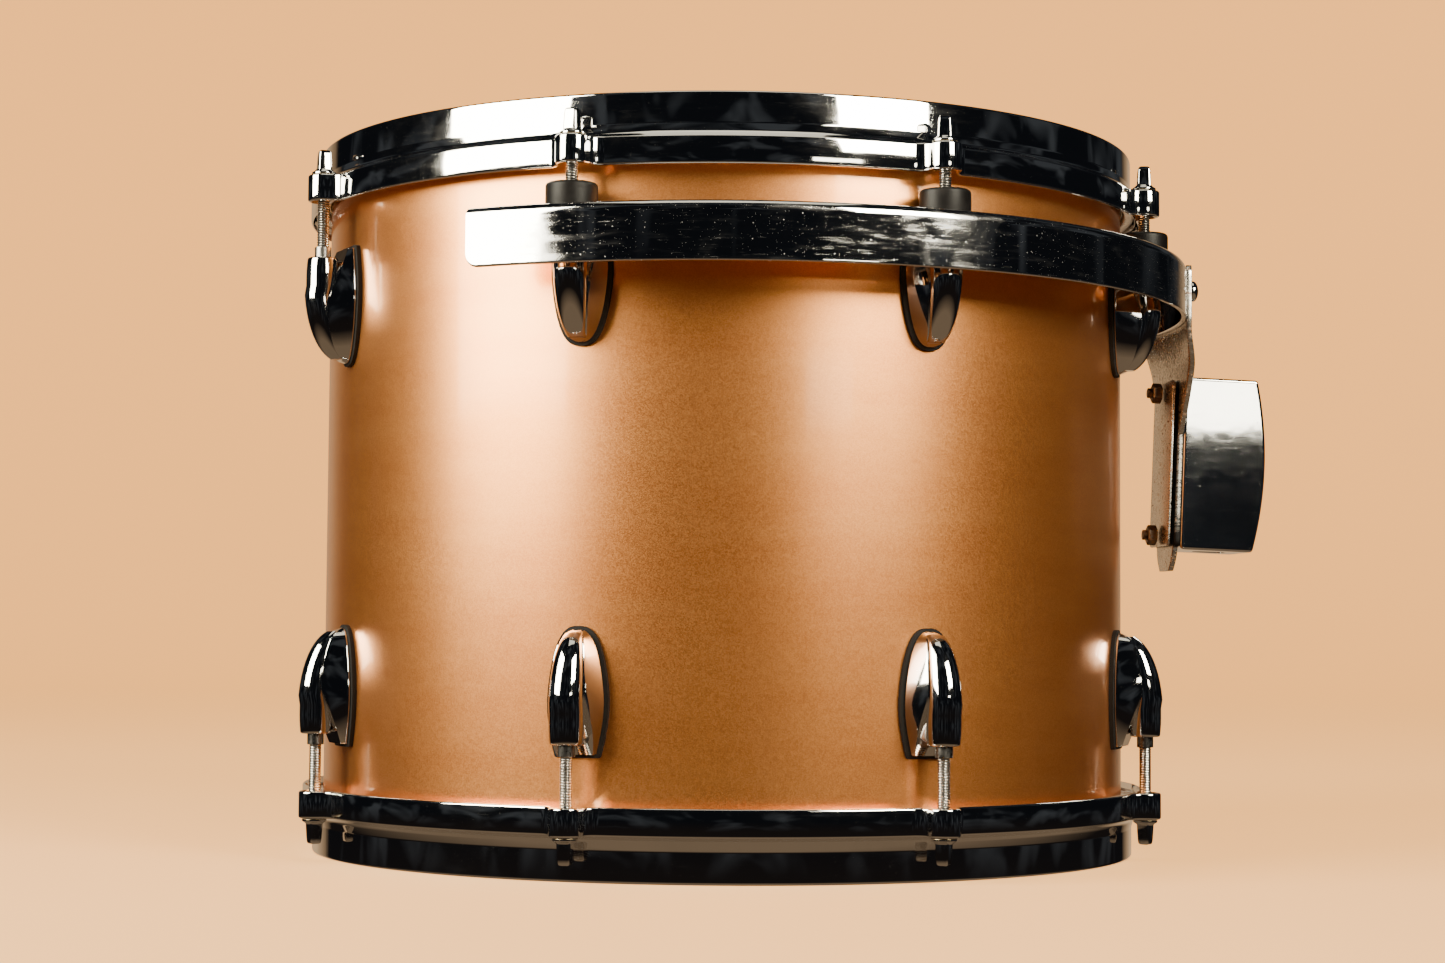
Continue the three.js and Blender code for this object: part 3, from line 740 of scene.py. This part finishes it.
def makeLugs(end):
    foot, bullet = lugShape()
    lugs = makePiece(f"{end}BulletLugs", foot, lugChrome)
    bored(lugs, [bullet], "UNION")
    repeated(lugs, end)
    finished(lugs, "drum", "chrome", *[f"{end}_lug_{i + 1}" for i in range(8)])
    # the black pad that each lug sits on, curved to the shell behind
    grow = lug["padEdge"]
    flat = baseHalfWidth(0)
    outline = [(flat * 3 / 4, -grow), (flat + grow - 1.1, -grow), (flat + grow - 0.3, -grow + 0.4)]
    along = [0, 4, 9, 14, 19, 24, 29, 33, 37, 40, 42.5, 44.5, 46, 47, 47.6, 47.95, 48.12, 48.19]
    for here, after in zip(along, along[1:]):
        dx, dz = baseHalfWidth(after) - baseHalfWidth(here), after - here
        span = math.hypot(dx, dz)
        middle = (here + after) / 2
        outline.append((baseHalfWidth(middle) + grow * dz / span, middle - grow * dx / span))
    outline.append((0.4, lug["length"] + grow))
    front, behind = drum["radius"] + lug["standOff"] - 0.04, drum["radius"] + 0.06
    rings = []
    for half, down in outline:
        xs = [half * t for t in (-1, -0.8, -0.4, 0, 0.4, 0.8, 1)]
        back = [(x, -math.sqrt(behind ** 2 - x * x), lug["flatEnd"] - down) for x in xs]
        face = [(x, -(front - 0.35 * (abs(x) >= half)), lug["flatEnd"] - down) for x in reversed(xs)]
        rings.append(back + face)
    pads = repeated(makePiece(f"{end}LugPads", skin(rings), padRubber), end)
    finished(pads, "drum", "rubber")
    # the swivel nut's collar stands out of the post's open end
    start = lug["flatEnd"] - lug["postStart"]
    nut = spun(rounded([
        (0, start - 2), (3.5, start - 2), (3.5, start + 4.5), (3.0, start + 4.5),
        (2.75, start + 4.1), (0, start + 4.1),
    ], [0, 0, 0.45, 0.2, 0.1, 0], 3), 12)
    nuts = makePiece(f"{end}SwivelNuts", moved(nut, toRodCircle), nutSteelAndThreadShade)
    finished(repeated(nuts, end), "drum", "dark_steel")


def makeLugScrews(end):
    # screw heads and washers inside the shell, two to a lug
    size = {"head": 4.1, "height": 2.6, "dome": 3.7, "recess": 2.4, "washer": 7.2, "thickness": 1.1,
            "downs": (12, 38)}
    wall = -(drum["radius"] - drum["wall"])
    shapes = []
    for down in size["downs"]:
        at = shiftedBy(y=wall, z=lug["flatEnd"] - down) @ turnedTo(-90, "X")
        washer = rounded([(0, -0.3), (size["washer"], -0.3), (size["washer"], size["thickness"]),
                          (0, size["thickness"])], [0, 0.2, 0.4, 0], 3)
        head = rounded([
            (0, 0.6), (size["head"], 0.6), (size["head"], size["height"]),
            (size["head"] * 0.55, size["dome"]), (1.3, size["dome"]), (1.1, size["recess"]),
            (0, size["recess"]),
        ], [0, 0.2, 0.9, 0.2, 0.1, 0.1, 0], 3)
        shapes += [moved(spun(washer, 28), at), moved(spun(head, 24), at)]
    screws = makePiece(f"{end}LugScrews", merged(*shapes), aluminium)
    finished(repeated(screws, end), "drum", "dark_steel")


# suspension band

band = {
    "top": -33.3, "height": 23.5, "outer": 206, "wall": 2.3, "flangeInner": 181.5, "flange": 2,
    "bend": 4, "halfSpan": 123.4, "hole": 7, "lowCorner": 5, "topCorner": 2.4,
}


def cornerCut(radius, near):
    # how much a corner's round takes off, this near to the end
    return radius - math.sqrt(radius ** 2 - max(0, radius - near) ** 2)


def makeBand():
    size = band
    inner, steps = size["outer"] - size["wall"], 300
    length, corner = math.radians(2 * size["halfSpan"]) * size["outer"], size["lowCorner"]
    ends = [(1 - math.cos(a)) * corner for a in quarter(8)]
    places = ends + [corner + (length - 2 * corner) * k / steps for k in range(1, steps)]
    places += [length - s for s in reversed(ends)]
    rings = []
    for s in places:
        near = min(s, length - s)
        low, cut = cornerCut(corner, near), cornerCut(size["topCorner"], near)
        bottom = size["top"] - size["height"] + low
        top = size["top"]
        section = rounded([
            (size["flangeInner"] + cut, top), (size["flangeInner"] + cut, top - size["flange"]),
            (inner, top - size["flange"]), (inner, bottom),
            (size["outer"], bottom), (size["outer"], top),
        ], [0.6, 0.6, 2, 0.8, 0.8, size["bend"]], 6, hold=0.3)
        rings.append(around(section, math.radians(90 - size["halfSpan"]) + s / size["outer"]))
    piece = makePiece("suspensionBand", skin(rings), bandChrome)
    tool = spun([(0, size["top"] - 6), (size["hole"], size["top"] - 6), (size["hole"], size["top"] + 3),
                 (0, size["top"] + 3)], 32)
    holes = [moved(tool, turnedTo(a) @ toRodCircle) for a in mountAngles]
    bored(piece, [merged(*holes)])
    return finished(piece, "mount", "chrome", "mount_band")


def makeGrommets():
    size = {"radius": 10.2, "top": -23.8, "neck": 6.5, "bore": 3.4, "recess": 4.3, "edge": 1.8,
            "rest": -39.9}
    seat = band["top"] + 0.05
    corners = [
        (size["recess"], size["rest"]), (size["neck"], size["rest"]), (size["neck"], seat),
        (size["radius"], seat), (size["radius"], size["top"]), (size["bore"], size["top"]),
        (size["bore"], band["top"] - 1.1), (size["recess"], band["top"] - 1.1),
    ]
    shape = spun(rounded(corners, [0.3, 0.5, 0.2, 0.5, size["edge"], 0.5, 0.1, 0.1], 5), 56)
    piece = makePiece("bandGrommets", moved(shape, toRodCircle), rubber)
    repeated(piece, count=6)
    return finished(piece, "mount", "rubber", *[f"grommet_{i + 1}" for i in range(6)])


# bracket plate and clamp

plate = {
    "top": -31.9, "bottom": -167.2, "thickness": 2.4, "radius": 206.3, "half": 42, "strip": 18,
    "taperTop": -56.8, "taperBottom": -106, "tongueTop": -158, "tongueStart": 15, "tongueEnd": 8.5,
    "flatFace": 205, "flattenTop": -60, "flattenBottom": -79, "bend": -75.5, "lean": 2.2, "corner": 4,
}


def plateHalfWidth(z):
    size = plate
    if z >= size["taperTop"]:
        past = max(0, size["corner"] - (size["top"] - z))
        return size["half"] - size["corner"] + math.sqrt(size["corner"] ** 2 - past ** 2)
    if z >= size["taperBottom"]:
        fall = (size["taperTop"] - z) / (size["taperTop"] - size["taperBottom"])
        return size["half"] + (size["strip"] - size["half"]) * (0.45 * fall + 0.55 * fall * fall)
    if z > size["tongueTop"]:
        return size["strip"]
    share = (size["tongueTop"] - z) / (size["tongueTop"] - size["bottom"])
    return size["tongueStart"] + (size["tongueEnd"] - size["tongueStart"]) * share ** 1.6


def plateFace(y, z, out):
    # the plate follows the band at its top, then flattens, bends and leans in
    size = plate
    flat = min(1, max(0, (size["flattenTop"] - z) / (size["flattenTop"] - size["flattenBottom"])))
    flat = flat * flat * (3 - 2 * flat)
    curved = math.sqrt(size["radius"] ** 2 - y * y)
    inward = max(0, size["bend"] - z) * math.tan(math.radians(size["lean"]))
    return curved + (size["flatFace"] - curved) * flat - inward + out


def makePlate():
    size = plate
    bottom, tongue, taper = size["bottom"], size["tongueTop"], size["taperBottom"]
    heights = [bottom + (tongue - bottom) * k / 8 for k in range(8)]
    heights += [tongue - 0.02, tongue]
    heights += [tongue + (taper - tongue) * k / 6 for k in range(1, 6)]
    heights += [taper + (size["top"] - size["corner"] - taper) * k / 44 for k in range(44)]
    heights += [size["top"] - size["corner"] * (1 - math.sin(a)) for a in quarter(6)]
    thick, ease = size["thickness"], 0.45
    edge = [(thick, ease), (thick - ease * 0.3, ease * 0.3), (thick - ease, 0), (ease, 0),
            (ease * 0.3, ease * 0.3), (0, ease)]
    rings = []
    for z in heights:
        half = plateHalfWidth(z)
        columns = [half * (2 * k / 20 - 1) for k in range(1, 20)]
        outside = [(plateFace(y, z, thick), y) for y in columns]
        inside = [(plateFace(y, z, 0), y) for y in reversed(columns)]
        near = [(plateFace(half, z, out), half - pull) for out, pull in edge]
        far = [(plateFace(-half, z, out), pull - half) for out, pull in reversed(edge)]
        rings.append([(x, y, z) for x, y in outside + near + inside + far])
    piece = makePiece("bracketPlate", skin(rings), plateSteel)
    piece.data.materials.append(bandChrome)
    for face in piece.data.polygons:
        face.material_index = 1 if face.normal.x > 0.6 else 0
    return finished(piece, "mount", "plate_steel", "mount_plate")


def makePlateBolts():
    size = {"angle": 9, "z": -43, "radius": 4.6, "dome": 3}
    out = plate["radius"] + plate["thickness"] + 0.1
    radius = size["radius"]
    profile = [(0, out), (radius - 0.3, out), (radius, out + 0.3), (radius, out + 0.8)]
    profile += [(radius * math.cos(a), out + 0.8 + (size["dome"] - 0.6) * math.sin(a))
                for a in quarter(8)[1:-1]]
    profile.append((0, out + 0.2 + size["dome"]))
    for number, side in ((1, -1), (2, 1)):
        place = turnedTo(90 + side * size["angle"]) @ shiftedBy(z=size["z"]) @ turnedTo(90, "X")
        bolt = makePiece(f"plateBolt{number}", moved(spun(profile, 40), place), clampChrome)
        finished(bolt, "mount", "chrome", f"plate_bolt_{number}")


clamp = {
    "height": -118.7, "half": 39, "halfWidth": 17.8, "depth": 33.3, "bulge": 4.6, "edge": 1.2,
    "corner": 2.6, "bore": 6.6, "rodDepth": 18.3, "screwBore": 4.4, "pocket": 7.3, "pocketDepth": 15.8,
}
clampPlace = (
    shiftedBy(plateFace(0, clamp["height"], plate["thickness"]), 0, clamp["height"])
    @ turnedTo(plate["lean"], "Y")
)


def makeHousing():
    size = clamp
    half, depth = size["half"], size["depth"] + 0.3
    shares = [2 * k / 24 - 1 for k in range(25)]
    crown = [(depth + size["bulge"] * (1 - t * t), half * t) for t in shares]
    radii = [size["corner"]] * 2 + [0] * 23 + [size["corner"]] * 2
    outline = rounded([(0.3, -half), *crown, (0.3, half)], radii, 5)
    block = slab(outline, -size["halfWidth"], size["halfWidth"], size["edge"], 5, hold=0.4)
    piece = makePiece("clampHousing", moved(block, clampPlace), clampChrome)
    flare = size["bore"] + 1.2
    bore = spun([(0, -half - 2), (flare + 2, -half - 2), (flare, -half), (size["bore"], -half + 1.2),
                 (size["bore"], half - 1.2), (flare, half), (flare + 2, half + 2), (0, half + 2)], 48)
    bore = moved(bore, clampPlace @ shiftedBy(x=size["rodDepth"]))
    deep, through = size["pocketDepth"], size["halfWidth"] + 2
    screwWay = spun([(0, 0), (size["pocket"], 0), (size["pocket"], deep), (size["screwBore"], deep),
                     (size["screwBore"], through), (0, through)], 40)
    across = shiftedBy(x=size["rodDepth"]) @ turnedTo(-90, "X")
    bored(piece, [bore, moved(screwWay, clampPlace @ across)])
    return finished(piece, "mount", "chrome", "clamp_housing")


def makeClampBacking():
    # the rubber pad, the thin backing plate and two nuts on the plate's inner side
    inner = -plate["thickness"] - 0.05
    layers = [
        ("clampPad", 17.8, 38, 2.9, rubber, "rubber", "clamp_pad", 0.7),
        ("clampBackingPlate", 17.4, 37.6, 1.2, plateSteel, "plate_steel", "clamp_backing_plate", 0.3),
    ]
    start = inner
    for name, half, tall, thickness, material, slot, node, edge in layers:
        outline = rounded([(-half, -tall), (half, -tall), (half, tall), (-half, tall)], 3, 5)
        place = clampPlace @ shiftedBy(x=start) @ turnedTo(90)
        shape = moved(slab(outline, -thickness, 0, edge), place)
        finished(makePiece(name, shape, material), "mount", slot, node)
        start -= thickness + 0.03
    size = {"across": 8, "height": 4.2, "offset": 32.5, "stud": 2.4}
    for number, side in ((1, 1), (2, -1)):
        hexagon = []
        for z, share in [(0, 0.94), (0.4, 1), (size["height"] - 0.5, 1), (size["height"], 0.9)]:
            reach = size["across"] / math.sqrt(3) * share
            hexagon.append([(reach * math.cos(math.pi / 3 * k), reach * math.sin(math.pi / 3 * k), z)
                            for k in range(6)])
        ridges = [(0, 2)]
        for k in range(9):
            ridges += [(size["stud"], 2 + 0.5 * k), (size["stud"] - 0.35, 2.25 + 0.5 * k)]
        ridges += [(0, 2 + 0.5 * 9 - 0.25)]
        place = clampPlace @ shiftedBy(start, 0, side * size["offset"]) @ turnedTo(-90, "Y")
        shape = moved(merged(skin(hexagon), spun(ridges, 20)), place)
        nut = makePiece(f"clampNut{number}", shape, rustySteel)
        finished(nut, "mount", "dark_steel", f"clamp_nut_{number}")


def makeWingBolt():
    size = {"span": 46, "height": 17, "thickness": 5, "hub": 8, "hubLength": 13, "screw": 3.9}
    face = clamp["halfWidth"] + 1.2
    tip = size["span"] / 2
    wing = rounded([
        (-5, 0.5), (-tip + 3, 5), (-tip, 8.5), (-tip, size["height"]), (-tip + 8, size["height"]),
        (-tip + 12, 9.5), (0, 8), (tip - 12, 9.5), (tip - 8, size["height"]), (tip, size["height"]),
        (tip, 8.5), (tip - 3, 5), (5, 0.5),
    ], [1, 4, 4, 4.5, 4.5, 5, 5, 5, 4.5, 4.5, 4, 4, 1], 6)
    wings = slab(wing, -size["thickness"] / 2, size["thickness"] / 2, 1.8, 5)
    # drawn with its height along Z, from the hub's face; then laid along +Y
    wings = moved(wings, shiftedBy(z=face + 2.5) @ turnedTo(90))
    hub = spun(rounded([(0, face), (size["hub"], face), (size["hub"] - 2, face + size["hubLength"]),
                        (0, face + size["hubLength"])], [0, 0.6, 2, 0], 5), 40)
    ridges = [(0, 11.9), (size["screw"] - 0.6, 11.9)]
    z = 12.3
    while z < face - 0.6:
        ridges += [(size["screw"], z), (size["screw"] - 0.45, z + 0.5)]
        z += 1.0
    ridges += [(size["screw"] - 0.45, face + 1), (0, face + 1)]
    shape = merged(wings, hub, spun(ridges, 24))
    lying = clampPlace @ shiftedBy(x=clamp["rodDepth"]) @ turnedTo(-90, "X")
    bolt = makePiece("wingBolt", moved(shape, lying), clampChrome)
    return finished(bolt, "wing", "chrome", "wing_bolt")


# assembly

makeShell()
makeVent()
print("shell done")
for end in ("batter", "resonant"):
    makeHead(end)
    makeHoop(end)
    makeLugs(end)
    makeLugScrews(end)
    for number, angle in enumerate(rodAngles, 1):
        makeRod(end, number, angle)
    print(end, "end done")
makeBand()
makeGrommets()
makePlate()
makePlateBolts()
makeHousing()
makeClampBacking()
makeWingBolt()
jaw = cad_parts["clamp_jaw"]
jaw.data.materials.clear()
jaw.data.materials.append(plateSteel)
print("mount done")


# studio

studio = {
    "backdrop": (0.3, 0.185, 0.1), "glow": (1.0, 0.45, 0.1), "glowStrength": 1.55,
    "floorZ": -0.2927, "reach": 3.2, "cove": 0.9, "wall": 3.0, "roomLight": 0.8,
    "lightColour": (1, 0.93, 0.74), "lightAim": -0.15,
}
# each light's angle round the drum, height, distance, width and length in metres, and watts
lights = {
    "leftSoftbox": (-63, 0.5, 1.5, 1.02, 1.0, 86),
    "rightSoftbox": (37, 0.65, 1.7, 0.8, 0.75, 68),
    "lowCard": (23, 0.05, 1.59, 0.34, 0.078, 0.8),
    "overhead": (0, 1.9, 0.3, 1.2, 1.2, 6),
}


def makeStudio():
    material, tree, shader, place = newFinish("studioPaper", studio["backdrop"], 0, 0.9)
    shader.inputs["Emission Color"].default_value = (*studio["glow"], 1)
    shader.inputs["Emission Strength"].default_value = studio["glowStrength"]
    tone = ranged(tree, grain(tree, place, 1.5, 3), 0.35, 0.65, 0, 1)
    pale = tuple(min(1, c * 1.04) for c in studio["backdrop"])
    tree.links.new(blended(tree, tone, studio["backdrop"], pale), shader.inputs["Base Color"])
    reach, z, cove = studio["reach"] / mm, studio["floorZ"] / mm, studio["cove"] / mm
    curve = [(reach + cove * math.sin(a), z + cove * (1 - math.cos(a))) for a in quarter(12)]
    profile = [(0, z), (700, z), *curve, (reach + cove, z + studio["wall"] / mm)]
    points, faces = [], []
    count, turns = len(profile), 96
    for i in range(turns):
        points += around(profile, 2 * math.pi * i / turns)
        a, b = i * count, (i + 1) % turns * count
        faces += [(a + j, b + j, b + j + 1, a + j + 1) for j in range(count - 1)]
    sweep = makePiece("studioSweep", (points, faces), material)
    sweep.visible_glossy = False  # the plating mirrors a dark room
    makeRoom()


def makeRoom():
    # what the plating mirrors: the lit paper behind the drum, a dark room in front, a dim floor
    room = {"paper": (0.86, 0.56, 0.31), "dark": (0.006, 0.007, 0.009), "patches": (0.05, 0.055, 0.06),
            "below": (0.24, 0.165, 0.1), "floor": (0.013, 0.01, 0.009)}
    world = bpy.context.scene.world or bpy.data.worlds.new("studio")
    bpy.context.scene.world = world
    world.use_nodes = True
    tree = world.node_tree
    way = add(tree, "ShaderNodeTexCoord").outputs["Generated"]
    part = add(tree, "ShaderNodeSeparateXYZ", {0: way}).outputs
    patchy = ranged(tree, grain(tree, way, 5, 2, 0.5, 0.6), 0.52, 0.66, 0, 1)
    colour = blended(tree, patchy, room["dark"], room["patches"])
    colour = blended(tree, ranged(tree, part["Z"], -0.03, -0.2, 0, 1), colour, room["floor"])
    colour = blended(tree, ranged(tree, part["Z"], -0.28, -0.55, 0, 1), colour, room["below"])
    colour = blended(tree, ranged(tree, part["Y"], 0.8, 0.93, 0, 1), colour, room["paper"])
    light = tree.nodes["Background"]
    tree.links.new(colour, light.inputs["Color"])
    light.inputs["Strength"].default_value = studio["roomLight"]


def makeLight(name, angle, height, distance, width, length, power):
    data = bpy.data.lights.new(name, "AREA")
    data.shape, data.size, data.size_y = "RECTANGLE", width, length
    data.energy, data.color = power, studio["lightColour"]
    light = bpy.data.objects.new(name, data)
    a = math.radians(angle)
    light.location = (distance * math.sin(a), -distance * math.cos(a), height)
    back = light.location - Vector((0, 0, studio["lightAim"]))
    light.rotation_mode = "QUATERNION"
    light.rotation_quaternion = back.to_track_quat("Z", "Y")
    light.visible_camera = False
    bpy.context.scene.collection.objects.link(light)


def makeCamera():
    view = {"lens": 66.01, "angle": -4.24, "distance": 1.19487, "height": -0.1965, "side": 0.00019,
            "pitch": 3.2605, "roll": 0.3903, "yaw": 0.0431}
    data = bpy.data.cameras.new("studioCamera")
    data.lens, data.sensor_width = view["lens"], 36
    camera = bpy.data.objects.new("studioCamera", data)
    yaw, pitch, roll = (math.radians(view[key]) for key in ("yaw", "pitch", "roll"))
    right = Vector((math.cos(yaw), math.sin(yaw), 0))
    level = Vector((-math.sin(yaw), math.cos(yaw), 0))
    forward = level * math.cos(pitch) + Vector((0, 0, math.sin(pitch)))
    up = Vector((0, 0, math.cos(pitch))) - level * math.sin(pitch)
    across = right * math.cos(roll) + up * math.sin(roll)
    upright = up * math.cos(roll) - right * math.sin(roll)
    aimed = Matrix([[axis[row] for axis in (across, upright, -forward)] for row in range(3)]).to_4x4()
    spot = shiftedBy(view["side"], -view["distance"], view["height"])
    camera.matrix_world = turnedTo(view["angle"]) @ spot @ aimed
    bpy.context.scene.collection.objects.link(camera)
    bpy.context.scene.camera = camera


makeStudio()
for name, light in lights.items():
    makeLight(name, *light)
makeCamera()
print("studio done")
